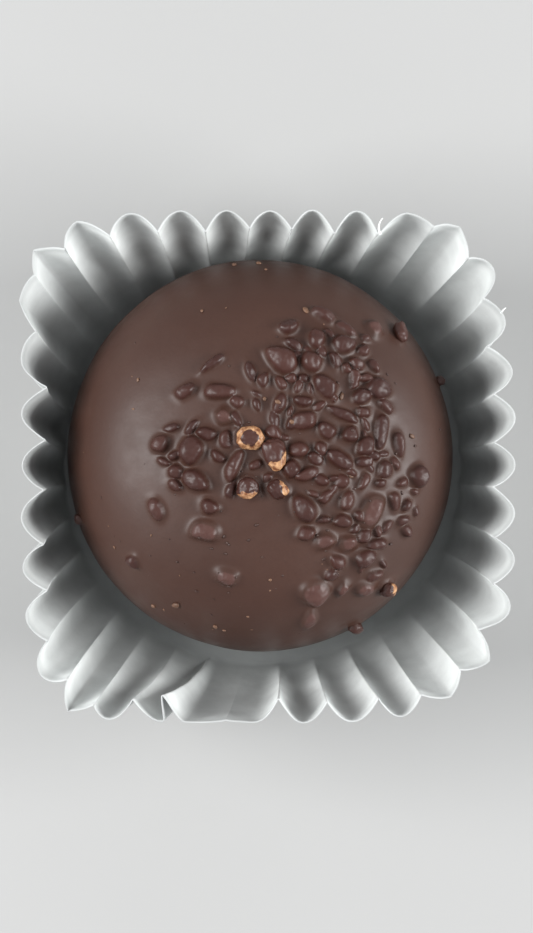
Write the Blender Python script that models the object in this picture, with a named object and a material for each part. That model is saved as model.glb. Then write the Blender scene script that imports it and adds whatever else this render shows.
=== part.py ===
"""A chocolate truffle standing in its pleated paper case.

There are two pieces. The truffle is a smooth chocolate dome, slightly oval in plan, that is widest
below its middle and rounds under to a flat foot. The case is one sheet of thin paper: a flat round
base, and a wall whose pleats open from nothing at the base to their full depth at the rim. The wall
was squeezed into a rounded square, and a few of its pleats were flattened on the way.

Units are metres and +Z is up. The origin is the centre of the underside of the case. Seen from
above, +X is to the right and +Y is to the top.
"""

import math
import random

import bmesh
import bpy

MM = 0.001

# Truffle
TRUFFLE_RADIUS_X = 15.2 * MM
TRUFFLE_RADIUS_Y = 15.5 * MM
TRUFFLE_HEIGHT = 20.0 * MM
WIDEST_HEIGHT = 7.0 * MM
FOOT_RADIUS = 11.8 * MM
TRUFFLE_OFFSET_X = -0.43 * MM
TRUFFLE_OFFSET_Y = 0.86 * MM
DOME_FULLNESS = 2.1
DOME_STEPS = 12
UNDERCUT_STEPS = 5
SPIN_STEPS = 56

# Paper case
PAPER_THICKNESS = 0.12 * MM
RESTING_GAP = 0.3 * MM
BASE_RADIUS = 15.7 * MM
RIM_HALF_X = 19.3 * MM
RIM_HALF_Y = 20.05 * MM
RIM_SQUARENESS = 4.8
WALL_LENGTH = 16.6 * MM
WALL_BOW = 0.3
RIM_WAVE = 0.22 * MM

# Where the rim stands out beyond the rounded square, or falls short of it: the direction in degrees
# anticlockwise from +X, how far, and over how many degrees it fades.
UNEVEN_RIM = (
    (33, -0.5 * MM, 10),
    (55, 0.5 * MM, 5),
    (138, 1.1 * MM, 12),
    (230, 0.9 * MM, 7),
    (312, -0.85 * MM, 12),
)

# Pleats. The folds between them are counted anticlockwise from +X, and pleat n lies between folds n
# and n + 1.
PLEATS = 36
STEPS_PER_PLEAT = 6
PLEAT_DEPTH = 1.7 * MM
PLEAT_OPENING = 0.9
DEPTH_VARIATION = 0.08
ARCH_POWER = 0.85
FOLD_ROUNDING_AT_RIM = 0.08
FOLD_ROUNDING_AT_BASE = 0.55
WALL_LEVELS = (0.0, 0.08, 0.26, 0.5, 0.75, 1.0)
RANDOM_SEED = 7

# Degrees that some of the folds were pushed along the rim when the case was squeezed. Those between
# two of them moved by an amount in between.
FOLD_DRIFT = {
    0: 0.8,
    1: 1.5,
    3: 1.0,
    6: 1.2,
    8: -0.3,
    12: -1.6,
    13: -2.0,
    14: -4.4,
    15: -4.4,
    17: -1.2,
    19: 2.5,
    22: 1.8,
    24: -3.6,
    25: -6.6,
    27: -2.5,
    29: -1.4,
    30: -2.6,
    32: -0.3,
    34: -1.2,
    36: 0.8,
}

# Folds whose depth differs from the others', as a share of it. Fold 26 was pressed flat, which made
# one wide pleat of two.
UNEVEN_DEPTHS = {
    3: 0.75,
    4: 0.85,
    5: 0.55,
    6: 1.3,
    9: 0.8,
    14: 0.55,
    15: 0.8,
    16: 1.35,
    21: 0.8,
    23: 0.7,
    25: 1.15,
    26: 0.1,
    30: 0.7,
    31: 0.75,
    32: 1.15,
}

# Pleats whose outermost line isn't halfway between their folds: its place from 0 to 1.
UNEVEN_PEAKS = {24: 0.76, 25: 0.34}


def clear_scene():
    for obj in list(bpy.data.objects):
        bpy.data.objects.remove(obj)


def make_material(name, colour, roughness):
    material = bpy.data.materials.new(name)
    material.use_nodes = True
    shader = material.node_tree.nodes["Principled BSDF"]
    shader.inputs["Base Color"].default_value = (*colour, 1.0)
    shader.inputs["Roughness"].default_value = roughness
    shader.inputs["Metallic"].default_value = 0.0
    return material


def add_object(name, bm, material):
    bmesh.ops.recalc_face_normals(bm, faces=bm.faces)
    mesh = bpy.data.meshes.new(name)
    bm.to_mesh(mesh)
    bm.free()
    mesh.materials.append(material)
    mesh.shade_smooth()
    obj = bpy.data.objects.new(name, mesh)
    bpy.context.scene.collection.objects.link(obj)
    return obj


# ---------------------------------------------------------------- truffle


def truffle_profile():
    """(radius, height) from the middle of the foot, out and round the side, up to the crown."""
    widest = TRUFFLE_RADIUS_X
    points = [(0.0, 0.0)]
    for step in range(UNDERCUT_STEPS):
        turn = math.pi / 2 * step / UNDERCUT_STEPS
        radius = FOOT_RADIUS + (widest - FOOT_RADIUS) * math.sin(turn)
        points.append((radius, WIDEST_HEIGHT * (1 - math.cos(turn))))
    power = 2 / DOME_FULLNESS
    for step in range(DOME_STEPS + 1):
        turn = math.pi / 2 * step / DOME_STEPS
        radius = widest * max(math.cos(turn), 0.0) ** power
        rise = (TRUFFLE_HEIGHT - WIDEST_HEIGHT) * math.sin(turn) ** power
        points.append((radius, WIDEST_HEIGHT + rise))
    points[-1] = (0.0, TRUFFLE_HEIGHT)
    return points


def make_truffle(material):
    bm = bmesh.new()
    verts = [bm.verts.new((radius, 0.0, height)) for radius, height in truffle_profile()]
    edges = [bm.edges.new(pair) for pair in zip(verts, verts[1:])]
    bmesh.ops.spin(
        bm,
        geom=verts + edges,
        cent=(0, 0, 0),
        axis=(0, 0, 1),
        angle=2 * math.pi,
        steps=SPIN_STEPS,
        use_merge=True,
    )
    bmesh.ops.remove_doubles(bm, verts=bm.verts, dist=0.001 * MM)
    bmesh.ops.scale(bm, vec=(1.0, TRUFFLE_RADIUS_Y / TRUFFLE_RADIUS_X, 1.0), verts=bm.verts)
    truffle = add_object("truffle", bm, material)
    truffle.location = (TRUFFLE_OFFSET_X, TRUFFLE_OFFSET_Y, PAPER_THICKNESS + RESTING_GAP)
    return truffle


# ---------------------------------------------------------------- paper case


def fold_drift(number):
    """Degrees that a fold was pushed along the rim."""
    before = max(known for known in FOLD_DRIFT if known <= number)
    after = min(known for known in FOLD_DRIFT if known >= number)
    if after == before:
        return FOLD_DRIFT[number]
    share = (number - before) / (after - before)
    return FOLD_DRIFT[before] + (FOLD_DRIFT[after] - FOLD_DRIFT[before]) * share


def make_folds():
    """The inward folds of the wall, as (angle at the base, angle at the rim, depth at the rim)."""
    rng = random.Random(RANDOM_SEED)
    folds = []
    for number in range(PLEATS):
        base_angle = 2 * math.pi * (number + 0.5) / PLEATS
        share = 1 + rng.uniform(-DEPTH_VARIATION, DEPTH_VARIATION)
        share = UNEVEN_DEPTHS.get(number, share)
        folds.append(
            (base_angle, base_angle + math.radians(fold_drift(number)), share * PLEAT_DEPTH)
        )
    return folds


def rim_radius(angle):
    """Distance from the axis to the rounded square that the rim follows."""
    across = abs(math.cos(angle) / RIM_HALF_X) ** RIM_SQUARENESS
    along = abs(math.sin(angle) / RIM_HALF_Y) ** RIM_SQUARENESS
    return (across + along) ** (-1 / RIM_SQUARENESS)


def rim_direction(angle):
    """The direction straight out of the rounded square at this angle, as (x, y)."""
    x, y = math.cos(angle) / RIM_HALF_X, math.sin(angle) / RIM_HALF_Y
    across = math.copysign(abs(x) ** (RIM_SQUARENESS - 1), x) / RIM_HALF_X
    along = math.copysign(abs(y) ** (RIM_SQUARENESS - 1), y) / RIM_HALF_Y
    size = math.hypot(across, along)
    return across / size, along / size


def rim_reach(angle):
    """How far the rim stands out beyond the rounded square at this angle."""
    total = 0.0
    for direction, distance, fade in UNEVEN_RIM:
        away = (math.degrees(angle) - direction + 180) % 360 - 180
        total += distance * math.exp(-((away / fade) ** 2))
    return total


def fold_shape(phase, rounding):
    """How far in the wall lies, from 1 at a fold, where phase is 0 or 1, to 0 at 0.5, the outermost
    line of the pleat."""
    def arch(sine):
        return math.hypot(sine, rounding) ** ARCH_POWER

    at_fold, at_pleat = arch(0.0), arch(1.0)
    return (at_pleat - arch(math.sin(math.pi * phase))) / (at_pleat - at_fold)


def wall_point(pleat, phase, up, folds):
    """A point of the outer face of the wall. phase runs from 0 at the fold before the pleat to 1 at
    the fold after it, and up is 0 at the base and 1 at the rim."""
    this, following = folds[pleat % PLEATS], folds[(pleat + 1) % PLEATS]
    peak = UNEVEN_PEAKS.get(pleat % PLEATS, 0.5)
    share = 2 * peak * phase if phase < 0.5 else 1 - 2 * (1 - peak) * (1 - phase)
    turn = 2 * math.pi if pleat == PLEATS - 1 else 0.0
    base_angle = this[0] + (following[0] + turn - this[0]) * share
    rim_angle = this[1] + (following[1] + turn - this[1]) * share
    angle = base_angle + (rim_angle - base_angle) * up

    run = rim_radius(rim_angle) - BASE_RADIUS
    rise = math.sqrt(WALL_LENGTH**2 - run**2) + RIM_WAVE * math.sin(3 * angle + 1.0)
    radius = BASE_RADIUS + run * up * (1 + WALL_BOW * (1 - up))

    rounding = FOLD_ROUNDING_AT_BASE + (FOLD_ROUNDING_AT_RIM - FOLD_ROUNDING_AT_BASE) * up
    nearest = this if phase < 0.5 else following
    inward = nearest[2] * up**PLEAT_OPENING * fold_shape(phase, rounding)
    inward -= rim_reach(rim_angle) * up**2
    # The folds point straight in from the rim, and more nearly at the axis further down.
    out_x, out_y = rim_direction(rim_angle)
    out_x = out_x * up + math.cos(angle) * (1 - up)
    out_y = out_y * up + math.sin(angle) * (1 - up)
    size = math.hypot(out_x, out_y)
    return (
        radius * math.cos(angle) - inward * out_x / size,
        radius * math.sin(angle) - inward * out_y / size,
        rise * up,
    )


def make_paper_case(material):
    folds = make_folds()
    bm = bmesh.new()
    rings = []
    for up in WALL_LEVELS:
        ring = []
        for pleat in range(PLEATS):
            for step in range(STEPS_PER_PLEAT):
                ring.append(bm.verts.new(wall_point(pleat, step / STEPS_PER_PLEAT, up, folds)))
        rings.append(ring)
    bm.faces.new(reversed(rings[0]))
    for lower, upper in zip(rings, rings[1:]):
        for i in range(len(lower)):
            after = (i + 1) % len(lower)
            bm.faces.new((lower[i], lower[after], upper[after], upper[i]))

    case = add_object("paper_case", bm, material)
    thickness = case.modifiers.new("paper_thickness", "SOLIDIFY")
    thickness.thickness = PAPER_THICKNESS
    thickness.offset = -1.0
    thickness.use_even_offset = True
    return case


def main():
    clear_scene()
    chocolate = make_material("chocolate", (0.098, 0.056, 0.045), 0.42)
    paper = make_material("paper", (0.82, 0.83, 0.82), 0.6)
    make_paper_case(paper)
    make_truffle(chocolate)


main()
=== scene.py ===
import math
import random

import bmesh
import bpy
import numpy as np
from mathutils import Matrix, Vector, noise


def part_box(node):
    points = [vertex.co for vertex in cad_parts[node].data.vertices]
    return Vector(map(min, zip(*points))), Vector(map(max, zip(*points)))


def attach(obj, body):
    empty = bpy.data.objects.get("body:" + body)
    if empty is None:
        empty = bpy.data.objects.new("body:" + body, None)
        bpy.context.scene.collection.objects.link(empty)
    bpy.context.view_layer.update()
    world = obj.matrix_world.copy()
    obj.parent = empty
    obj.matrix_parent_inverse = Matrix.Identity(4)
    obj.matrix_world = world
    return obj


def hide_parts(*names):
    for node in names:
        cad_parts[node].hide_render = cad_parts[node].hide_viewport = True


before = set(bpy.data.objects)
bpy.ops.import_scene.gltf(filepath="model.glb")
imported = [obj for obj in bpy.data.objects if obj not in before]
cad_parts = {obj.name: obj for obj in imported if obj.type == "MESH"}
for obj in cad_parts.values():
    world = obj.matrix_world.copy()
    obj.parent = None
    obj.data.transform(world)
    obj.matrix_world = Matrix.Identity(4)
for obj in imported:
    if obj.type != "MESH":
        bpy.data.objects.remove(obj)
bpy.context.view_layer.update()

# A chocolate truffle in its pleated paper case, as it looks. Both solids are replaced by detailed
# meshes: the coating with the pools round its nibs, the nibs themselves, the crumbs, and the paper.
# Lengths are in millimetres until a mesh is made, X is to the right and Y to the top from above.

MM = 0.001

# ---------------------------------------------------------------- sizes

truffle_low, truffle_high = (np.array(corner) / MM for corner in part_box("truffle"))
case_high = np.array(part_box("paper_case")[1]) / MM

DOME_CENTRE = (truffle_low + truffle_high)[:2] / 2
DOME_RADIUS = (truffle_high - truffle_low)[0] / 2
DOME_OVAL = (truffle_high - truffle_low)[1] / (truffle_high - truffle_low)[0]
DOME_HEIGHT = (truffle_high - truffle_low)[2]
FOOT_Z = truffle_low[2]
WIDEST_HEIGHT = 7.0
FOOT_RADIUS = 11.8
# The dome is a little fuller than the solid, as the coating is thicker round its shoulder.
DOME_FULLNESS = 2.6
# Nothing on the dome lies further out than this share of its radius.
OUTERMOST = 0.985
# The coating's slow waves and its finer unevenness: how wide, and how high.
COATING_WAVES = ((7.0, 0.10), (2.2, 0.02))

PAPER = 0.09
BASE_RADIUS = 15.7
RIM_HALF_X, RIM_HALF_Y = case_high[:2]
RIM_SQUARENESS = 4.8
WALL_LENGTH = 16.6
WALL_BOW = 0.3
RIM_WAVE = 0.22
PLEATS = 36
PLEAT_DEPTH = 1.7
PLEAT_OPENING = 0.9
DEPTH_VARIATION = 0.08
ARCH_POWER = 0.85
# How round the folds' edges are, where 0 is a sharp crease, and how far they lean to either side.
FOLD_ROUNDING_AT_BASE = 0.45
FOLD_ROUNDING_AT_RIM = 0.015
LEAN_VARIATION = 0.06
# The wall's height as a share of what its length gives, and how gently it turns up from the base.
WALL_SETTLING = 0.985
BASE_CURVE = 0.08
# The paper's crumples: how wide, and how high.
CRUMPLES = ((2.6, 0.10), (0.9, 0.03))

# The fold beside the wide pleat bulges over its neighbour instead of creasing.
LOOSE_FOLD = 25
LOOSE_FOLD_ROUNDING = 0.2
LOOSE_FOLD_LEAN = -0.55
# The bulge reaches this many samples to each side, and is smoothed this many times.
BULGE_REACH = 9
BULGE_ROUNDS = 25

# Where the random draws start: the nibs', and the folds', which are as in the solid.
NIB_SEED = 11
FOLD_SEED = 7

# How fine the meshes are.
CROWN_CELLS = 312
SIDE_ROWS = 44
PLEAT_SAMPLES = 22
WALL_LEVELS = 36
# How much a pleat's samples crowd towards its folds. Past 1 / (2 pi) they would change places.
CROWDING = 0.147

# The rim beyond or short of the rounded square: direction in degrees anticlockwise from +X, how
# far, and over how many degrees it fades. This list and the next are as in the solid.
UNEVEN_RIM = [(33, -0.5, 10), (55, 0.5, 5), (138, 1.1, 12), (230, 0.9, 7), (312, -0.85, 12)]

# Degrees that some of the folds were pushed along the rim, counted anticlockwise from +X.
FOLD_DRIFT = {
    0: 0.8,
    1: 1.5,
    3: 1.0,
    6: 1.2,
    8: -0.3,
    12: -1.6,
    13: -2.0,
    14: -4.4,
    15: -4.4,
    17: -1.2,
    19: 2.5,
    22: 1.8,
    24: -3.6,
    25: -6.6,
    27: -2.5,
    29: -1.4,
    30: -2.6,
    32: -0.3,
    34: -1.2,
    36: 0.8,
}

# Folds whose depth differs from the others', as a share of it. Three are less or more than in the
# solid, where their edges are sharper.
UNEVEN_DEPTHS = {
    3: 0.75,
    4: 0.85,
    5: 0.55,
    6: 1.0,
    9: 0.8,
    14: 0.55,
    15: 0.8,
    16: 1.12,
    21: 0.8,
    23: 0.7,
    25: 1.3,
    26: 0.1,
    30: 0.7,
    31: 0.75,
    32: 1.15,
}

# Where the outermost line of a pleat lies between its folds, if not halfway, and how sharply some
# pleats are creased along it, from 0 to 1.
UNEVEN_PEAKS = {24: 0.88, 25: 0.3}
CREASED_PLEATS = {4: 0.7, 5: 0.3, 12: 0.3, 13: 0.9, 14: 0.5, 22: 0.8, 30: 0.6, 31: 0.6}

# The nibs that stand out: x, y from the middle of the dome, length, width, and the degrees their
# length is turned from +X.
NIBS = [
    (2.0, 9.9, 1.8, 1.1, 15),
    (4.7, 10.8, 2.0, 1.1, -35),
    (6.5, 9.8, 2.1, 0.8, -45),
    (6.1, 8.6, 2.1, 1.5, 0),
    (4.1, 9.0, 1.6, 1.4, 60),
    (10.6, 9.5, 1.7, 1.3, 50),
    (1.2, 7.4, 2.6, 2.2, -45),
    (-4.0, 7.2, 2.3, 0.8, 40),
    (-1.1, 6.6, 1.8, 0.8, -65),
    (-6.2, 5.0, 1.7, 1.2, 30),
    (-3.5, 4.9, 2.8, 1.15, -5),
    (1.3, 5.6, 1.3, 0.8, -40),
    (7.1, 7.1, 1.3, 1.0, -30),
    (8.6, 6.9, 1.2, 0.9, -50),
    (4.7, 5.4, 2.2, 1.5, -40),
    (3.0, 4.2, 1.6, 0.9, -5),
    (8.9, 5.2, 2.3, 1.8, -30),
    (7.5, 4.5, 1.7, 1.2, 30),
    (6.2, 3.2, 2.8, 0.9, -20),
    (1.1, 3.9, 1.9, 1.0, 60),
    (3.2, 2.7, 2.0, 1.5, 0),
    (4.8, 1.9, 1.6, 1.1, -30),
    (6.6, 1.6, 1.5, 1.2, 20),
    (9.1, 1.7, 2.9, 1.2, 82),
    (10.5, 1.0, 2.2, 0.9, 105),
    (-7.3, 2.1, 1.4, 0.7, 10),
    (-8.0, 0.9, 1.5, 1.3, 60),
    (-5.7, 0.4, 2.3, 1.9, -50),
    (-6.8, -1.2, 1.2, 1.1, 0),
    (-5.2, -2.0, 2.4, 1.5, -30),
    (-3.0, 1.3, 1.6, 1.0, 90),
    (2.7, 0.5, 1.6, 1.2, 0),
    (-2.4, -0.8, 2.7, 1.1, 70),
    (5.7, -0.3, 2.4, 1.2, -35),
    (3.2, -1.5, 1.9, 1.1, 15),
    (7.7, -0.4, 1.4, 0.9, 0),
    (9.3, -1.2, 1.5, 1.2, 60),
    (11.9, -1.5, 2.0, 1.5, 80),
    (-4.2, -4.0, 1.4, 1.3, 0),
    (-8.3, -4.3, 2.0, 1.1, -70),
    (3.1, -4.1, 2.3, 1.8, -20),
    (6.4, -3.4, 1.6, 1.0, 80),
    (6.0, -5.0, 1.5, 1.2, 0),
    (10.9, -5.0, 1.2, 0.8, 20),
    (3.2, -6.0, 1.5, 1.1, -10),
    (8.0, -7.9, 1.8, 1.4, 30),
    (5.7, -8.2, 1.4, 1.2, 0),
    (-10.1, -8.2, 1.4, 1.1, -60),
    (7.3, -13.3, 1.3, 1.1, 0),
    (14.0, 5.9, 1.0, 0.8, 0),
    (-14.5, -5.0, 1.0, 0.8, 0),
]

# Nibs that lost some of their coating: as above, then the direction of the bare side in degrees, or
# None where the whole edge is bare.
BARE_NIBS = [
    (-1.2, 1.4, 2.2, 1.9, 0, None),
    (0.8, 0.2, 2.7, 2.0, 110, -50),
    (-1.2, -2.5, 1.8, 1.6, 0, -90),
    (1.0, -2.6, 1.8, 1.4, -40, 20),
    (9.7, -10.3, 1.5, 1.3, 0, 10),
]

# Nibs under the coating, which only lift it.
COVERED_NIBS = [
    (-4.7, -5.9, 2.0, 1.7, -30),
    (-2.8, -9.5, 1.6, 1.4, 0),
    (4.1, -10.7, 2.4, 2.1, 0),
    (3.6, -12.7, 2.0, 1.1, 85),
    (7.9, -10.3, 1.6, 1.3, 0),
    (6.1, -10.4, 1.1, 0.9, 60),
    (4.8, -6.6, 1.5, 1.2, 0),
    (6.6, -6.7, 1.4, 1.1, 30),
    (8.5, -4.2, 2.7, 1.6, 60),
    (8.6, 9.9, 1.5, 1.3, 30),
    (-3.2, 3.0, 1.3, 1.2, 0),
]

# Where the small nibs lie: centre x, y, half sizes along X and Y, and how many are wanted.
NIB_PATCHES = [
    (4.3, 3.0, 5.2, 6.2, 66),
    (7.3, -2.6, 3.6, 3.8, 28),
    (-0.9, 0.6, 2.8, 4.2, 13),
    (-5.9, 0.2, 2.6, 2.8, 6),
    (4.9, 8.8, 3.2, 1.6, 6),
    (7.7, -9.2, 2.8, 3.6, 10),
    (10.7, -4.0, 1.8, 2.0, 6),
]

# Flecks that stand out: x, y from the middle of the dome, and size.
FLECKS = [
    (-8.5, -11.8, 0.20),
    (-6.8, -11.7, 0.24),
    (-7.7, -12.1, 0.10),
    (-3.7, -13.4, 0.18),
    (-3.0, -13.7, 0.12),
    (-1.2, -12.6, 0.10),
    (0.5, -9.7, 0.13),
    (-2.1, 15.0, 0.20),
    (-0.2, 15.1, 0.20),
    (0.3, 14.6, 0.12),
    (-4.8, 11.3, 0.12),
    (11.6, 1.5, 0.18),
    (0.0, 4.4, 0.15),
    (1.0, 4.1, 0.17),
    (2.1, 2.6, 0.17),
    (6.0, 4.6, 0.18),
    (6.7, -1.6, 0.16),
    (-9.8, 5.9, 0.12),
    (-11.6, -7.2, 0.10),
    (3.3, 11.3, 0.22),
]

# Scraps of torn paper on the rim: x, y, z of the root, the degrees it points from +X, the degrees
# it curls through, its length and its width.
SCRAPS = [((8.8, 18.15, 15.5), 118, -75, 1.4, 0.2), ((18.25, 12.0, 15.2), 62, -30, 0.6, 0.16)]


# ---------------------------------------------------------------- meshes


def make_piece(name, points, faces, replaces=(), attributes=None):
    """A piece from points in millimetres. attributes holds a name and a value for each point."""
    mesh = bpy.data.meshes.new(name)
    mesh.from_pydata((np.asarray(points) * MM).tolist(), [], faces)
    mesh.validate()
    for label, values in (attributes or {}).items():
        layer = mesh.attributes.new(label, "FLOAT", "POINT")
        layer.data.foreach_set("value", np.asarray(values, np.float32))
    mesh.shade_smooth()
    piece = bpy.data.objects.new(name, mesh)
    bpy.context.scene.collection.objects.link(piece)
    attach(piece, "root")
    if replaces:
        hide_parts(*replaces)
    return piece


def smooth_noise(points, size, seed=0.0, octaves=1):
    """Noise from -1 to 1 at each point, whose lumps are about size millimetres across."""
    shift = Vector((seed * 17.3, seed * -9.1, seed * 5.7))
    values = np.empty(len(points))
    for i, point in enumerate(points):
        place = Vector(point) / size + shift
        values[i] = noise.fractal(place, 1.0, 2.0, octaves) if octaves > 1 else noise.noise(place)
    return values


# ---------------------------------------------------------------- the dome's surface


def dome_profile(count=1500):
    """(radius, height) from the crown down round the widest part to the edge of the foot."""
    turn = np.linspace(math.pi / 2, 0, count)
    power = 2 / DOME_FULLNESS
    upper_radius = DOME_RADIUS * np.clip(np.cos(turn), 0, 1) ** power
    upper_height = WIDEST_HEIGHT + (DOME_HEIGHT - WIDEST_HEIGHT) * np.sin(turn) ** power
    lower_radius = FOOT_RADIUS + (DOME_RADIUS - FOOT_RADIUS) * np.sin(turn)
    lower_height = WIDEST_HEIGHT * (1 - np.cos(turn))
    radius = np.concatenate([upper_radius, lower_radius[1:]])
    height = np.concatenate([upper_height, lower_height[1:]])
    return radius, height


PROFILE_RADIUS, PROFILE_HEIGHT = dome_profile()
PROFILE_LENGTH = np.concatenate(
    [[0.0], np.cumsum(np.hypot(np.diff(PROFILE_RADIUS), np.diff(PROFILE_HEIGHT)))]
)
WIDEST = np.argmax(PROFILE_RADIUS)


def length_at(radius):
    """How far down its surface from the crown the dome reaches this radius."""
    return np.interp(radius, PROFILE_RADIUS[: WIDEST + 1], PROFILE_LENGTH[: WIDEST + 1])


def dome_point(length, angle, step=0.05):
    """The plain dome's point and outward normal, length millimetres down its surface from the
    crown."""
    radius = np.interp(length, PROFILE_LENGTH, PROFILE_RADIUS)
    height = np.interp(length, PROFILE_LENGTH, PROFILE_HEIGHT)
    before, after = length - step, length + step
    up = np.interp(after, PROFILE_LENGTH, PROFILE_RADIUS)
    up = up - np.interp(before, PROFILE_LENGTH, PROFILE_RADIUS)
    out = np.interp(before, PROFILE_LENGTH, PROFILE_HEIGHT)
    out = out - np.interp(after, PROFILE_LENGTH, PROFILE_HEIGHT)
    size = np.hypot(out, up) + 1e-9
    points = np.stack(
        [
            DOME_CENTRE[0] + radius * np.cos(angle),
            DOME_CENTRE[1] + radius * np.sin(angle) * DOME_OVAL,
            FOOT_Z + height,
        ],
        axis=-1,
    )
    normals = np.stack(
        [out / size * np.cos(angle), out / size * np.sin(angle), up / size], axis=-1
    )
    return points, normals


def dome_place(x, y):
    """The point, normal and two directions along the dome below x, y from its middle."""
    radius = min(math.hypot(x, y / DOME_OVAL), DOME_RADIUS * OUTERMOST)
    angle = math.atan2(y / DOME_OVAL, x)
    point, normal = dome_point(np.array([length_at(radius)]), np.array([angle]))
    point, normal = point[0], normal[0] / np.linalg.norm(normal[0])
    along = np.cross([0.0, 1.0, 0.0], normal)
    along /= np.linalg.norm(along)
    across = np.cross(normal, along)
    return point, normal, along, across


# ---------------------------------------------------------------- where the nibs are

rng = random.Random(NIB_SEED)

TALLEST_NIB = 1.1
# Coated nibs beyond this share of the dome's radius are whole, and the others part of the coating.
# The small ones are scattered nearer to the middle than that.
EDGE_STARTS = 0.86
SMALL_END = 0.84
# A small nib keeps away from every other by this share of both lengths, and this many places are
# tried for each one wanted.
SPACING = 0.35
TRIES_PER_NIB = 6
# The coating round a nib: how high it pools, as a share of the nib's height, and how wide.
POOL_HEIGHT = 0.24
POOL_WIDTH = 0.22
# The power that blends a nib's sides and facets into one surface. A lower one is rounder.
BLEND = 5
# How far over its pool a nib counts as one in full, and how lumpy it is.
NIB_SHOWS = 0.12
NIB_LUMPS = 0.08


class Nib:
    """A broken nib lying on the dome."""

    def __init__(self, x, y, length, width, turn, bare=None):
        point, normal, along, across = dome_place(x, y)
        tilt = Vector(normal) + Vector((rng.gauss(0, 0.1), rng.gauss(0, 0.1), 0))
        tilt.normalize()
        turned = math.radians(turn)
        first = Vector(along) * math.cos(turned) + Vector(across) * math.sin(turned)
        first = (first - tilt * first.dot(tilt)).normalized()
        self.point = point
        self.normal = np.array(tilt)
        self.first = np.array(first)
        self.second = np.array(tilt.cross(first))
        self.half = np.array([length / 2, width / 2])
        self.height = min(width * rng.uniform(0.52, 0.74), TALLEST_NIB)
        self.near_edge = math.hypot(x, y / DOME_OVAL) > EDGE_STARTS * DOME_RADIUS
        self.bare = bare
        self.pool = POOL_HEIGHT
        self.tone = rng.uniform(0, 0.75)
        self.squareness = rng.uniform(2.0, 3.2)
        # The corners broken off, as a direction and how far out the break is, and the top's slopes.
        self.cuts = [(rng.uniform(0, 2 * math.pi), rng.uniform(0.75, 1.0)) for _ in range(4)]
        self.tops = []
        for _ in range(2):
            slope, fall = rng.uniform(0.2, 0.75), rng.uniform(0, 2 * math.pi)
            self.tops.append((slope * math.cos(fall), slope * math.sin(fall)))

    def rise(self, points):
        """How high the nib stands over the dome at each point, and how far outside it that is."""
        away = points - self.point
        u, v = away @ self.first / self.half[0], away @ self.second / self.half[1]
        angle = np.arctan2(v, u)
        # The outline is a rounded box with a few corners broken off.
        power = self.squareness
        total = np.abs(np.cos(angle)) ** power + np.abs(np.sin(angle)) ** power
        total **= BLEND / power
        for turn, distance in self.cuts:
            total += (np.maximum(np.cos(angle - turn), 0) / distance) ** BLEND
        out = np.hypot(u, v) * total ** (1 / BLEND) * 0.92
        side = np.maximum(1 - out**2.3, 1e-4) ** 0.5
        total = side**-BLEND
        for slope_u, slope_v in self.tops:
            total += np.maximum(1.1 + slope_u * u + slope_v * v, 0.15) ** -BLEND
        height = 1.15 * self.height * total ** (-1 / BLEND)
        return np.where(out < 1, height, 0), np.maximum(out - 1, 0) * self.half.mean()


def scatter_small(placed):
    """Small nibs in the patches, touching their neighbours but not on top of them."""
    found = []
    for centre_x, centre_y, half_x, half_y, wanted in NIB_PATCHES:
        for _ in range(wanted * TRIES_PER_NIB):
            if wanted <= 0:
                break
            radius = math.sqrt(rng.random())
            turn = rng.uniform(0, 2 * math.pi)
            x = centre_x + half_x * radius * math.cos(turn)
            y = centre_y + half_y * radius * math.sin(turn)
            length = rng.uniform(0.8, 1.8)
            taken = placed + found
            if any(math.hypot(x - p[0], y - p[1]) < SPACING * (length + p[2]) for p in taken):
                continue
            if math.hypot(x, y / DOME_OVAL) > SMALL_END * DOME_RADIUS:
                continue
            found.append((x, y, length, length * rng.uniform(0.45, 0.85), rng.uniform(0, 180)))
            wanted -= 1
    return found


small_nibs = scatter_small([entry[:3] for entry in NIBS + BARE_NIBS + COVERED_NIBS])
coated_nibs = [Nib(*entry) for entry in NIBS + small_nibs]
edge_nibs = [nib for nib in coated_nibs if nib.near_edge]
bare_nibs = [Nib(*entry) for entry in BARE_NIBS]
covered_nibs = [Nib(*entry) for entry in COVERED_NIBS]
for nib in covered_nibs:
    # These lie deeper in the coating and look paler.
    nib.height, nib.pool, nib.tone = 0.75 * nib.height, 0.5, 1.0
standing = edge_nibs + bare_nibs


# ---------------------------------------------------------------- coating


def disc_grid(count):
    """A square grid bent into a disc: the radius from 0 to 1 and the angle of each point, the
    faces, and the points of the edge in order."""
    line = np.linspace(-1, 1, count + 1)
    a, b = (grid.ravel() for grid in np.meshgrid(line, line, indexing="ij"))
    wide = np.abs(a) >= np.abs(b)
    radius = np.where(wide, np.abs(a), np.abs(b))
    safe_a, safe_b = np.where(a == 0, 1e-9, a), np.where(b == 0, 1e-9, b)
    angle = np.where(
        wide,
        math.pi / 4 * b / safe_a + np.where(a < 0, math.pi, 0),
        math.pi / 2 - math.pi / 4 * a / safe_b + np.where(b < 0, math.pi, 0),
    )
    corner = np.arange((count + 1) ** 2).reshape(count + 1, count + 1)
    quads = np.stack(
        [corner[:-1, :-1], corner[1:, :-1], corner[1:, 1:], corner[:-1, 1:]], axis=-1
    )
    edge = np.concatenate(
        [corner[:-1, 0], corner[-1, :-1], corner[1:, -1][::-1], corner[0, 1:][::-1]]
    )
    return radius, angle, quads.reshape(-1, 4), edge


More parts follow.
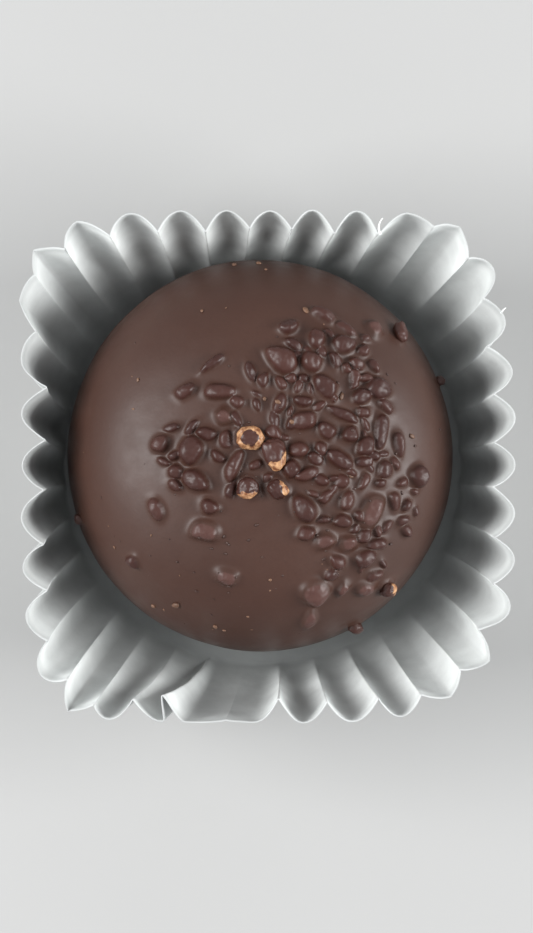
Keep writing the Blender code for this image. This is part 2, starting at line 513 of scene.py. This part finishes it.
def coating_relief(points):
    """How far the coating stands out over the dome at each point, how much of that is a nib, and
    the nibs' tones. The coating follows each nib and pools round it."""
    stands, pools = np.zeros(len(points)), np.zeros(len(points))
    tones = np.zeros(len(points))
    for nib in coated_nibs + bare_nibs + covered_nibs:
        reach = nib.half[0] + 1.2
        near = np.linalg.norm(points - nib.point, axis=1) < reach
        height, gap = nib.rise(points[near])
        pools[near] += (nib.pool * nib.height * np.exp(-((gap / POOL_WIDTH) ** 1.3))) ** 3
        if nib not in standing:
            stands[near] += height**6
            tones[near] += height**6 * nib.tone
    tones = tones / np.maximum(stands, 1e-12)
    stands, pools = stands ** (1 / 6), np.cbrt(pools)
    lumps = np.zeros(len(points))
    rough = stands > 0
    lumps[rough] = smooth_noise(points[rough], 0.5, 3) + 0.5 * smooth_noise(points[rough], 0.25, 4)
    share = np.clip((stands - pools) / NIB_SHOWS, 0, 1)
    relief = (stands**5 + pools**5) ** 0.2 + NIB_LUMPS * lumps * share
    return relief, share, tones


def coating_surface(length, angle):
    """The coating's points, with their nib shares and tones."""
    points, normals = dome_point(length, angle)
    relief, share, tones = coating_relief(points)
    (wide, high), (fine, low) = COATING_WAVES
    waves = high * smooth_noise(points, wide, 1) + low * smooth_noise(points, fine, 2)
    fade = np.clip((PROFILE_LENGTH[-1] - length) / 3.0, 0, 1)
    return points + normals * ((relief + waves) * fade)[:, None], share, tones


CROWN_LENGTH = length_at(0.9 * DOME_RADIUS)


def make_crown():
    """The upper coating, in a fine mesh, and the angles along its edge."""
    radius, angle, faces, edge = disc_grid(CROWN_CELLS)
    points, share, tones = coating_surface(radius * CROWN_LENGTH, angle)
    attributes = {"nib": share, "tone": tones}
    piece = make_piece(
        "coating_crown", points, faces.tolist(), ["truffle"], attributes
    )
    return piece, angle[edge]


def make_side(angles):
    """The coating from the edge of the crown down round the widest part and under the foot."""
    lengths = np.linspace(CROWN_LENGTH, PROFILE_LENGTH[-1], SIDE_ROWS + 1)
    count = len(angles)
    points, share, tones = coating_surface(
        np.repeat(lengths, count), np.tile(angles, SIDE_ROWS + 1)
    )
    middle = np.array([DOME_CENTRE[0], DOME_CENTRE[1], FOOT_Z])
    foot = points[-count:]
    rings = [middle + (foot - middle) * inward for inward in (0.9, 0.6, 0.3)]
    points = np.concatenate([points] + rings)
    faces = []
    for row in range(SIDE_ROWS + len(rings)):
        first, second = row * count, (row + 1) * count
        for i in range(count):
            after = (i + 1) % count
            faces.append((first + i, second + i, second + after, first + after))
    faces.append(tuple(range(len(points) - count, len(points))))
    blank = np.zeros(len(rings) * count)
    attributes = {"nib": np.concatenate([share, blank]), "tone": np.concatenate([tones, blank])}
    return make_piece("coating_side", points, faces, ["truffle"], attributes)


# ---------------------------------------------------------------- nibs


def ball(subdivisions):
    bm = bmesh.new()
    bmesh.ops.create_icosphere(bm, subdivisions=subdivisions, radius=1.0)
    points = np.array([vert.co for vert in bm.verts])
    faces = [tuple(vert.index for vert in face.verts) for face in bm.faces]
    bm.free()
    return points, faces


def chip_shape(directions):
    """A broken chip with rounded corners: how far out its surface is in each direction."""
    total = (np.abs(directions) ** 3).sum(axis=1) ** 2
    for _ in range(7):
        facing = Vector((rng.gauss(0, 1), rng.gauss(0, 1), rng.gauss(0, 0.8))).normalized()
        total += np.maximum(directions @ np.array(facing) / rng.uniform(0.75, 1.0), 0) ** 6
    return total ** (-1 / 6)


def make_nibs(name, nibs, subdivisions):
    """Nibs that stand clear of the coating, with the height, bareness and tone of each point."""
    directions, ball_faces = ball(subdivisions)
    points, faces, height, tone, bare = [], [], [], [], []
    for number, nib in enumerate(nibs):
        local = directions * (chip_shape(directions) ** 0.7)[:, None]
        lumps = smooth_noise(local + 10 * number, 0.7, 3) + 0.5 * smooth_noise(local, 0.3, number)
        local = local * (1.05 + 0.14 * lumps)[:, None]
        faces += [tuple(i + len(points) * len(directions) for i in face) for face in ball_faces]
        height.append(np.clip(local[:, 2] * 0.5 + 0.5, 0, 1))
        tone.append(np.full(len(directions), nib.tone))
        size = np.array([nib.half[0], nib.half[1], nib.height * 0.72])
        away = (local * size) @ np.stack([nib.first, nib.second, nib.normal])
        # Where the bare edge starts, as a share of the nib's half size.
        inner = 0.56 if nib.bare is None else 0.42
        edge = np.clip((np.hypot(away[:, 0], away[:, 1]) / nib.half.mean() - inner) / 0.2, 0, 1)
        edge *= np.clip(away[:, 2] / size[2] * 3 + 1.2, 0, 1)
        if nib.bare is not None:
            turn = np.arctan2(away[:, 1], away[:, 0]) - math.radians(nib.bare)
            edge *= np.clip(np.cos(turn) * 2 - 0.5, 0, 1)
        bare.append(edge if nib in bare_nibs else np.zeros(len(directions)))
        points.append(nib.point + nib.normal * nib.height * 0.38 + away)
    attributes = {
        "height": np.concatenate(height),
        "tone": np.concatenate(tone),
        "bare": np.concatenate(bare),
    }
    return make_piece(name, np.concatenate(points), faces, (), attributes)


def make_crumbs():
    """Flecks of nib: those that stand out, small ones round the nibs, and dust nearer the edge."""
    directions, ball_faces = ball(2)
    places = [(x, y, size, rng.uniform(0.7, 1)) for x, y, size in FLECKS]
    for _ in range(70):
        places.append((rng.gauss(3.0, 5.5), rng.gauss(-1.0, 6.5), rng.uniform(0.05, 0.11), 0))
    for _ in range(40):
        radius = DOME_RADIUS * rng.uniform(0.6, 0.96)
        turn = math.radians(rng.gauss(235, 60))
        x, y = radius * math.cos(turn), radius * math.sin(turn)
        places.append((x, y, rng.uniform(0.04, 0.08), rng.choice((0, 0.4, 0.8))))
    points, faces, tone = [], [], []
    for number, (x, y, size, pale) in enumerate(places):
        if math.hypot(x, y / DOME_OVAL) > OUTERMOST * DOME_RADIUS:
            continue
        point, normal, along, across = dome_place(x, y)
        local = directions * np.array([size * rng.uniform(1, 1.9), size, size * 0.6])
        local = local * (1 + 0.35 * smooth_noise(directions + number, 0.6))[:, None]
        turn = rng.uniform(0, math.pi)
        first = along * math.cos(turn) + across * math.sin(turn)
        axes = np.stack([first, np.cross(normal, first), normal])
        lift = coating_relief(point[None, :])[0][0] + size * 0.2
        faces += [tuple(i + len(points) * len(directions) for i in face) for face in ball_faces]
        tone.append(np.full(len(directions), pale))
        points.append(point + normal * lift + local @ axes)
    attributes = {"tone": np.concatenate(tone)}
    return make_piece("crumbs", np.concatenate(points), faces, (), attributes)


# ---------------------------------------------------------------- paper case


def make_folds():
    """Angle at the base, angle at the rim, depth at the rim and sideways lean of each fold."""
    fold_rng = random.Random(FOLD_SEED)
    numbers = np.arange(PLEATS)
    base_angle = 2 * math.pi * (numbers + 0.5) / PLEATS
    drift = np.interp(numbers, list(FOLD_DRIFT), list(FOLD_DRIFT.values()))
    depth = []
    for number in numbers:
        share = 1 + fold_rng.uniform(-DEPTH_VARIATION, DEPTH_VARIATION)
        depth.append(PLEAT_DEPTH * UNEVEN_DEPTHS.get(int(number), share))
    lean = np.array([rng.gauss(0, LEAN_VARIATION) for _ in numbers])
    lean[LOOSE_FOLD] = LOOSE_FOLD_LEAN
    return base_angle, base_angle + np.radians(drift), np.array(depth), lean


def rim_radius(angle):
    across = np.abs(np.cos(angle) / RIM_HALF_X) ** RIM_SQUARENESS
    along = np.abs(np.sin(angle) / RIM_HALF_Y) ** RIM_SQUARENESS
    return (across + along) ** (-1 / RIM_SQUARENESS)


def rim_direction(angle):
    """The direction straight out of the rounded square at each angle, one row each."""
    x, y = np.cos(angle) / RIM_HALF_X, np.sin(angle) / RIM_HALF_Y
    across = np.sign(x) * np.abs(x) ** (RIM_SQUARENESS - 1) / RIM_HALF_X
    along = np.sign(y) * np.abs(y) ** (RIM_SQUARENESS - 1) / RIM_HALF_Y
    return np.stack([across, along], axis=-1) / np.hypot(across, along)[:, None]


def rim_reach(angle):
    total = np.zeros(len(angle))
    for direction, distance, fade in UNEVEN_RIM:
        away = (np.degrees(angle) - direction + 180) % 360 - 180
        total += distance * np.exp(-((away / fade) ** 2))
    return total


def wall_surface(pleat, phase, up, folds):
    """Points halfway through the paper, and how near each is to a fold. phase runs from 0 at the
    fold before the pleat to 1 at the fold after it, and up from 0 at the base to 1 at the rim."""
    base_angle, rim_angle, depth, lean = folds
    peaks, creased = np.full(PLEATS, 0.5), np.zeros(PLEATS)
    peaks[list(UNEVEN_PEAKS)] = list(UNEVEN_PEAKS.values())
    creased[list(CREASED_PLEATS)] = list(CREASED_PLEATS.values())
    peak = peaks[pleat]
    share = np.where(phase < 0.5, 2 * peak * phase, 1 - 2 * (1 - peak) * (1 - phase))
    following = (pleat + 1) % PLEATS
    turn = np.where(following == 0, 2 * math.pi, 0.0)
    base = base_angle[pleat] + (base_angle[following] + turn - base_angle[pleat]) * share
    rim = rim_angle[pleat] + (rim_angle[following] + turn - rim_angle[pleat]) * share
    angle = base + (rim - base) * up

    nearest = np.where(phase < 0.5, pleat, following)
    at_rim = np.where(nearest == LOOSE_FOLD, LOOSE_FOLD_ROUNDING, FOLD_ROUNDING_AT_RIM)
    rounding = at_rim + (FOLD_ROUNDING_AT_BASE - at_rim) * (1 - up) ** 6
    arch = np.hypot(np.sin(math.pi * phase), rounding) ** ARCH_POWER
    low, high = rounding**ARCH_POWER, np.hypot(1, rounding) ** ARCH_POWER
    shape = (high - arch) / (high - low)
    shape += (np.abs(1 - 2 * phase) - shape) * creased[pleat] * up
    reach = rim_reach(rim)
    inward = depth[nearest] * up**PLEAT_OPENING * shape - reach * up**2

    run = rim_radius(rim) - BASE_RADIUS
    travel = run - depth[nearest] * shape + reach
    rise = np.sqrt(WALL_LENGTH**2 - travel**2) * WALL_SETTLING
    rise = rise + RIM_WAVE * np.sin(3 * angle + 1.0)
    radius = BASE_RADIUS + run * up * (1 + WALL_BOW * (1 - up))
    radial = np.stack([np.cos(angle), np.sin(angle)], axis=-1)
    out = rim_direction(rim) * up[:, None] + radial * (1 - up)[:, None]
    out /= np.linalg.norm(out, axis=-1, keepdims=True)
    sideways = np.stack([-out[:, 1], out[:, 0]], axis=-1)
    plan = radial * radius[:, None] - out * inward[:, None]
    bend = np.where(nearest == LOOSE_FOLD, shape, shape**2)
    plan += sideways * (lean[nearest] * bend * up**1.5)[:, None]
    near_fold = shape**0.75 * np.clip(depth[nearest] / PLEAT_DEPTH, 0, 1) * np.clip(up * 5, 0, 1)
    climb = (np.hypot(up, BASE_CURVE) - BASE_CURVE) / (math.hypot(1, BASE_CURVE) - BASE_CURVE)
    return np.concatenate([plan, (rise * climb)[:, None]], axis=-1), near_fold


def make_case():
    columns, rings_up = PLEATS * PLEAT_SAMPLES, WALL_LEVELS + 1
    # The samples crowd towards the folds, where the paper turns most sharply.
    even = np.arange(PLEAT_SAMPLES) / PLEAT_SAMPLES
    phase = even - CROWDING * np.sin(2 * math.pi * even)
    up = np.linspace(0, 1, rings_up)
    middle, ridge = wall_surface(
        np.tile(np.repeat(np.arange(PLEATS), PLEAT_SAMPLES), rings_up),
        np.tile(phase, PLEATS * rings_up),
        np.repeat(up, columns),
        make_folds(),
    )
    ridge = ridge.reshape(rings_up, columns)
    middle = middle.reshape(rings_up, columns, 3)

    # Averaging each point near the loose fold with its neighbours makes the bulge.
    beside = np.arange(-BULGE_REACH, BULGE_REACH + 1)
    bulge = (LOOSE_FOLD * PLEAT_SAMPLES + beside) % columns
    pull = 0.5 * np.cos(np.linspace(-math.pi / 2, math.pi / 2, len(bulge)))[:, None]
    for _ in range(BULGE_ROUNDS):
        ring = middle[:, bulge]
        middle[:, bulge] = ring + pull * (
            (np.roll(ring, 1, axis=1) + np.roll(ring, -1, axis=1)) / 2 - ring
        )
    middle = middle.reshape(-1, 3)

    (wide, high), (fine, low) = CRUMPLES
    crumple = smooth_noise(middle * np.array([1, 1, 0.6]), wide, 5) * high
    crumple += smooth_noise(middle, fine, 6) * low
    middle = middle.reshape(rings_up, columns, 3)
    around = np.roll(middle, -1, axis=1) - np.roll(middle, 1, axis=1)
    upward = np.gradient(middle, axis=0)
    normal = np.cross(around, upward)
    normal /= np.linalg.norm(normal, axis=-1, keepdims=True)
    fade = np.clip(up * 5, 0, 1)[:, None]
    middle = middle + normal * (crumple.reshape(rings_up, columns) * fade)[..., None]
    middle[..., 2] += PAPER / 2
    outer = middle + normal * PAPER / 2
    inner = middle - normal * PAPER / 2
    outer[0, :, 2], inner[0, :, 2] = 0.0, PAPER

    points, faces, height, side, fold = [], [], [], [], []

    def add_ring(ring, level, inside):
        start = sum(len(part) for part in points)
        points.append(ring)
        height.append(np.full(len(ring), up[level]))
        side.append(np.full(len(ring), float(inside)))
        fold.append(ridge[level])
        return start

    def join(first, second):
        for i in range(columns):
            after = (i + 1) % columns
            faces.append((first + i, first + after, second + after, second + i))

    flat = [np.array([1, 1, 0.0]) * share for share in (0.05, 0.5, 0.97)]
    rings = [add_ring(outer[0] * share, 0, False) for share in flat]
    faces.append(tuple(rings[0] + i for i in reversed(range(columns))))
    rings += [add_ring(outer[j], j, False) for j in range(rings_up)]
    rings += [add_ring(inner[j], j, True) for j in reversed(range(rings_up))]
    lift = np.array([0, 0, PAPER])
    rings += [add_ring(inner[0] * share + lift, 0, True) for share in reversed(flat)]
    for first, second in zip(rings, rings[1:]):
        join(first, second)
    faces.append(tuple(rings[-1] + i for i in range(columns)))
    attributes = {
        "up": np.concatenate(height),
        "inside": np.concatenate(side),
        "fold": np.concatenate(fold),
    }
    return make_piece(
        "pleated_case", np.concatenate(points), faces, ["paper_case"], attributes
    )


def make_scraps():
    """Thin curled scraps that were left on the rim where the paper was cut."""
    steps, sides = 14, 8
    around = np.arange(sides) * 2 * math.pi / sides
    points, faces = [], []
    for root, turn, curl, length, width in SCRAPS:
        place = np.array(root)
        for step in range(steps + 1):
            heading = math.radians(turn + curl * step / steps)
            across = np.array([-math.sin(heading), math.cos(heading), 0.0])
            half = width / 2 * (1 - 0.6 * step / steps)
            start = len(points)
            for angle in around:
                lift = np.array([0, 0, 0.6 * PAPER * math.sin(angle)])
                points.append(place + across * half * math.cos(angle) + lift)
            if step == 0:
                faces.append(tuple(reversed(range(start, start + sides))))
            else:
                for i in range(sides):
                    after = (i + 1) % sides
                    before = start - sides
                    faces.append((before + i, before + after, start + after, start + i))
            place = place + np.array([math.cos(heading), math.sin(heading), 0.4]) * length / steps
        faces.append(tuple(range(start, start + sides)))
    count = len(points)
    attributes = {"up": np.full(count, 0.9), "inside": np.ones(count), "fold": np.ones(count)}
    return make_piece("paper_scraps", points, faces, (), attributes)


# ---------------------------------------------------------------- materials


def grey(level):
    return (level, level, level)


class Nodes:
    """A short way to build a material's nodes. Lengths here are in metres."""

    def __init__(self, name):
        self.material = bpy.data.materials.new(name)
        self.material.use_nodes = True
        self.tree = self.material.node_tree
        self.shader = self.tree.nodes["Principled BSDF"]
        self.place = self.tree.nodes.new("ShaderNodeTexCoord").outputs["Object"]

    def link(self, value, socket):
        if isinstance(value, bpy.types.NodeSocket):
            self.tree.links.new(value, socket)
        else:
            socket.default_value = value

    def noise(self, scale, detail=3.0, roughness=0.5, vector=None):
        """Clouds from 0 to 1, about that many to a metre."""
        node = self.tree.nodes.new("ShaderNodeTexNoise")
        self.link(vector or self.place, node.inputs["Vector"])
        node.inputs["Scale"].default_value = scale
        node.inputs["Detail"].default_value = detail
        node.inputs["Roughness"].default_value = roughness
        return node.outputs["Fac"]

    def stretch(self, factors):
        node = self.tree.nodes.new("ShaderNodeMapping")
        self.link(self.place, node.inputs["Vector"])
        node.inputs["Scale"].default_value = factors
        return node.outputs["Vector"]

    def attribute(self, name):
        node = self.tree.nodes.new("ShaderNodeAttribute")
        node.attribute_name = name
        return node.outputs["Fac"]

    def remap(self, value, from_low, from_high, to_low, to_high):
        """The value moved from the first range to the second, and held inside that."""
        node = self.tree.nodes.new("ShaderNodeMapRange")
        self.link(value, node.inputs["Value"])
        for label, number in zip(
            ("From Min", "From Max", "To Min", "To Max"), (from_low, from_high, to_low, to_high)
        ):
            node.inputs[label].default_value = number
        return node.outputs["Result"]

    def math(self, operation, first, second):
        node = self.tree.nodes.new("ShaderNodeMath")
        node.operation = operation
        self.link(first, node.inputs[0])
        self.link(second, node.inputs[1])
        return node.outputs[0]

    def axis(self, letter):
        node = self.tree.nodes.new("ShaderNodeSeparateXYZ")
        self.link(self.place, node.inputs["Vector"])
        return node.outputs[letter]

    def mix(self, share, first, second, blend="MIX"):
        node = self.tree.nodes.new("ShaderNodeMix")
        node.data_type = "RGBA"
        node.blend_type = blend
        self.link(share, node.inputs["Factor"])
        sockets = [s for s in node.inputs if s.type == "RGBA"]
        for value, socket in zip((first, second), sockets):
            self.link((*value, 1.0) if isinstance(value, tuple) else value, socket)
        return [s for s in node.outputs if s.type == "RGBA"][0]

    def ramp(self, value, *stops):
        """Greys between the stops, each of which has its place and its brightness."""
        node = self.tree.nodes.new("ShaderNodeValToRGB")
        self.link(value, node.inputs["Fac"])
        elements = node.color_ramp.elements
        for i, (place, level) in enumerate(stops):
            element = elements[i] if i < 2 else elements.new(place)
            element.position = place
            element.color = (*grey(level), 1)
        return node.outputs["Color"]

    def bump(self, height, strength, distance, before=None):
        node = self.tree.nodes.new("ShaderNodeBump")
        node.inputs["Strength"].default_value = strength
        node.inputs["Distance"].default_value = distance
        self.link(height, node.inputs["Height"])
        if before is not None:
            self.link(before, node.inputs["Normal"])
        return node.outputs["Normal"]

    def finish(self, colour, roughness, normal, **constants):
        self.link(colour, self.shader.inputs["Base Color"])
        self.link(roughness, self.shader.inputs["Roughness"])
        self.link(normal, self.shader.inputs["Normal"])
        for label, value in constants.items():
            self.shader.inputs[label.replace("_", " ")].default_value = value
        return self.material


# The coating varies between its two browns in clouds, with darker specks.
COATING = (0.043, 0.0176, 0.0114)
PALE_COATING = (0.050, 0.0215, 0.0144)
SPECKS = (0.033, 0.0136, 0.0094)
# Each nib is between two redder browns, and paler where it lies under the coating.
DARK_NIB = (0.033, 0.0108, 0.0080)
PALE_NIB = (0.060, 0.0225, 0.0170)
COVERED_NIB = (0.072, 0.0320, 0.0260)
NIB_CLOUDS = (0.045, 0.0158, 0.0118)
NIB_FOOT = (0.045, 0.0185, 0.0120)
# Where a nib has lost its coating, its grain shows in brown and tan.
BARE_BROWN = (0.17, 0.062, 0.026)
BARE_TAN = (0.50, 0.285, 0.145)
DARK_CRUMB = (0.036, 0.015, 0.011)
PALE_CRUMB = (0.155, 0.080, 0.046)
CRUMB_CLOUDS = (0.075, 0.038, 0.025)
PAPER_COLOUR = (0.755, 0.78, 0.77)
PALE_PAPER = (0.85, 0.88, 0.868)
# Painted shade inside the paper from the base, 0, to the rim, 1: pairs of height and brightness.
PAINTED_SHADE_BY_HEIGHT = ((0.0, 0.36), (0.12, 0.56), (0.4, 0.57), (0.65, 0.53), (0.78, 0.57), (0.9, 0.70))
CHOCOLATE_IOR = 1.40


def coated_colour(n, tone):
    """Chocolate on a nib, a little redder than the rest."""
    colour = n.mix(tone, DARK_NIB, PALE_NIB)
    colour = n.mix(n.remap(tone, 0.8, 1.0, 0.0, 1.0), colour, COVERED_NIB)
    return n.mix(n.remap(n.noise(1800, 3.0), 0.35, 0.7, 0.0, 0.4), colour, NIB_CLOUDS)


def coating_material():
    n = Nodes("chocolate_coating")
    cloud = n.noise(160, 3.0)
    speck = n.noise(3800, 2.0)
    colour = n.mix(n.remap(cloud, 0.35, 0.65, 0.0, 1.0), COATING, PALE_COATING)
    colour = n.mix(n.remap(speck, 0.45, 0.75, 0.0, 0.25), colour, SPECKS)
    nib = n.remap(n.attribute("nib"), 0.2, 1.0, 0.0, 1.0)
    colour = n.mix(nib, colour, coated_colour(n, n.attribute("tone")))
    roughness = n.remap(n.noise(700, 3.0), 0.3, 0.7, 0.44, 0.54)
    roughness = n.math("SUBTRACT", roughness, n.math("MULTIPLY", nib, 0.05))
    normal = n.bump(n.noise(900, 4.0), 0.12, 0.00012)
    normal = n.bump(speck, 0.18, 0.00003, normal)
    return n.finish(colour, roughness, normal, IOR=CHOCOLATE_IOR)


def nib_material():
    n = Nodes("nibs")
    colour = coated_colour(n, n.attribute("tone"))
    low = n.remap(n.attribute("height"), 0.35, 0.75, 0.65, 0.0)
    colour = n.mix(low, colour, NIB_FOOT)
    grain = n.noise(2600, 3.0, 0.6)
    tan = n.mix(n.remap(grain, 0.38, 0.66, 0.0, 1.0), BARE_BROWN, BARE_TAN)
    # Noise makes the edge of the bare place ragged.
    ragged = n.math("ADD", n.attribute("bare"), n.remap(n.noise(2000, 3.0), 0.3, 0.7, -0.45, 0.45))
    colour = n.mix(n.remap(ragged, 0.42, 0.62, 0.0, 1.0), colour, tan)
    roughness = n.remap(n.noise(1500, 3.0), 0.3, 0.7, 0.34, 0.48)
    normal = n.bump(n.noise(1500, 3.0), 0.25, 0.0001)
    return n.finish(colour, roughness, normal, IOR=CHOCOLATE_IOR)


def crumb_material():
    n = Nodes("crumbs")
    colour = n.mix(n.remap(n.attribute("tone"), 0.55, 0.8, 0.0, 1.0), DARK_CRUMB, PALE_CRUMB)
    colour = n.mix(n.remap(n.noise(5000, 2.0), 0.4, 0.7, 0.0, 0.5), colour, CRUMB_CLOUDS)
    roughness = n.remap(n.noise(4000, 2.0), 0.3, 0.7, 0.4, 0.6)
    normal = n.bump(n.noise(6000, 2.0), 0.3, 0.00005)
    return n.finish(colour, roughness, normal, IOR=1.45)


def paper_material():
    n = Nodes("case_paper")
    cloud = n.noise(420, 4.0, 0.6)
    fibre = n.noise(900, 5.0, 0.7, n.stretch((1.0, 1.0, 0.25)))
    colour = n.mix(n.remap(cloud, 0.35, 0.7, 0.0, 1.0), PAPER_COLOUR, PALE_PAPER)
    # Painted shade and light on the inside of the paper: painted grey, darker towards the base,
    # painted paler on every side but the left, and painted white along the folds.
    # Painted shade: the inside of the paper is darker towards the base.
    up = n.attribute("up")
    painted_shade = n.ramp(up, *PAINTED_SHADE_BY_HEIGHT)
    # Painted light: the inside is painted paler on the near, far and right sides, though not at the
    # base.
    near_side = n.remap(n.axis("Y"), -0.017, -0.006, 0.22, 0.0)
    near_side = n.math("MULTIPLY", near_side, n.remap(n.axis("X"), -0.015, 0.015, 0.2, 2.6))
    far_side = n.remap(n.axis("Y"), 0.012, 0.019, 0.0, 0.6)
    right_side = n.remap(n.axis("X"), 0.012, 0.019, 0.0, 0.5)
    right_side = n.math("MULTIPLY", right_side, n.remap(up, 0.6, 0.85, 1.0, 0.0))
    painted_side_light = n.math("ADD", near_side, n.math("ADD", far_side, right_side))
    painted_side_light = n.math("MULTIPLY", painted_side_light, n.remap(up, 0.0, 0.25, 0.0, 1.0))
    painted_shade = n.mix(painted_side_light, painted_shade, grey(0.9))
    # Painted light: the inside is painted white along the folds, more so higher up.
    fold = n.math("MULTIPLY", n.attribute("fold"), n.remap(up, 0.0, 0.3, 0.4, 1.3))
    tint = n.mix(fold, painted_shade, grey(0.97))
    tint = n.mix(n.attribute("inside"), grey(0.66), tint)
    # Painted shade: the paper is painted darker along the top of its rim, inside and out.
    tint = n.mix(n.remap(up, 0.92, 1.0, 0.0, 0.42), tint, grey(0.3))
    colour = n.mix(1.0, colour, tint, "MULTIPLY")
    roughness = n.remap(fibre, 0.3, 0.7, 0.48, 0.62)
    normal = n.bump(cloud, 0.25, 0.0002)
    normal = n.bump(fibre, 0.3, 0.00006, normal)
    return n.finish(colour, roughness, normal, IOR=1.4)


def floor_material():
    n = Nodes("floor")
    colour = n.mix(n.noise(30, 3.0), (0.36, 0.36, 0.356), (0.38, 0.38, 0.376))
    return n.finish(colour, 0.85, n.bump(n.noise(600, 2.0), 0.05, 0.0001), IOR=1.12)


# ---------------------------------------------------------------- build

chocolate, nib_chocolate = coating_material(), nib_material()
crown, seam_angles = make_crown()
crown.data.materials.append(chocolate)
side = make_side(seam_angles)
side.data.materials.append(chocolate)
edge = make_nibs("edge_nibs", edge_nibs, 4)
edge.data.materials.append(nib_chocolate)
bare = make_nibs("bare_nibs", bare_nibs, 5)
bare.data.materials.append(nib_chocolate)
crumbs = make_crumbs()
crumbs.data.materials.append(crumb_material())
paper = paper_material()
case = make_case()
case.data.materials.append(paper)
scraps = make_scraps()
scraps.data.materials.append(paper)


# ---------------------------------------------------------------- floor, light and camera

FLOOR_REACH = 1.5
corners = [(x * FLOOR_REACH, y * FLOOR_REACH, 0) for x, y in ((-1, -1), (1, -1), (1, 1), (-1, 1))]
floor_mesh = bpy.data.meshes.new("floor")
floor_mesh.from_pydata(corners, [], [(0, 1, 2, 3)])
floor = bpy.data.objects.new("floor", floor_mesh)
# It lies a hair below the case, so that the two don't share a plane.
floor.location.z = -0.00002
floor.data.materials.append(floor_material())
bpy.context.scene.collection.objects.link(floor)

# The camera and the lights face this point. The camera is this many metres from it, overhead and a
# little to the left: so far along X for each metre up. Its lens is in millimetres.
TARGET = Vector((0.0, 0.0, 0.011))
CAMERA_DISTANCE = 0.8
CAMERA_SIDE = -0.030
CAMERA_LENS = 392
SKY_COLOUR = (0.95, 0.97, 1.0, 1.0)
SKY_STRENGTH = 0.61


def add_light(name, azimuth, tilt, distance, size, power):
    """A soft box. azimuth is its side, anticlockwise from +X, and tilt its angle from overhead."""
    a, t = math.radians(azimuth), math.radians(tilt)
    data = bpy.data.lights.new(name, "AREA")
    data.shape = "RECTANGLE"
    data.size, data.size_y = size
    data.energy = power
    lamp = bpy.data.objects.new(name, data)
    away = Vector((math.sin(t) * math.cos(a), math.sin(t) * math.sin(a), math.cos(t)))
    lamp.location = TARGET + away * distance
    lamp.rotation_euler = away.to_track_quat("Z", "Y").to_euler()
    bpy.context.scene.collection.objects.link(lamp)


add_light("left_box", 177, 54, 0.5, (0.30, 0.28), 3.6)
add_light("right_box", -3, 64, 0.5, (0.30, 0.30), 3.9)

world = bpy.data.worlds.new("world")
world.use_nodes = True
sky = world.node_tree.nodes["Background"]
sky.inputs["Color"].default_value = SKY_COLOUR
sky.inputs["Strength"].default_value = SKY_STRENGTH
bpy.context.scene.world = world
bpy.context.scene.view_settings.view_transform = "Standard"

camera_data = bpy.data.cameras.new("camera")
camera_data.lens = CAMERA_LENS
camera_data.clip_start, camera_data.clip_end = 0.02, 10
camera = bpy.data.objects.new("camera", camera_data)
view_from = Vector((CAMERA_SIDE, 0.0, 1.0)).normalized()
right = Vector((0.0, 1.0, 0.0)).cross(view_from).normalized()
camera.location = TARGET + view_from * CAMERA_DISTANCE
camera.rotation_euler = Matrix((right, view_from.cross(right), view_from)).transposed().to_euler()
bpy.context.scene.collection.objects.link(camera)
bpy.context.scene.camera = camera
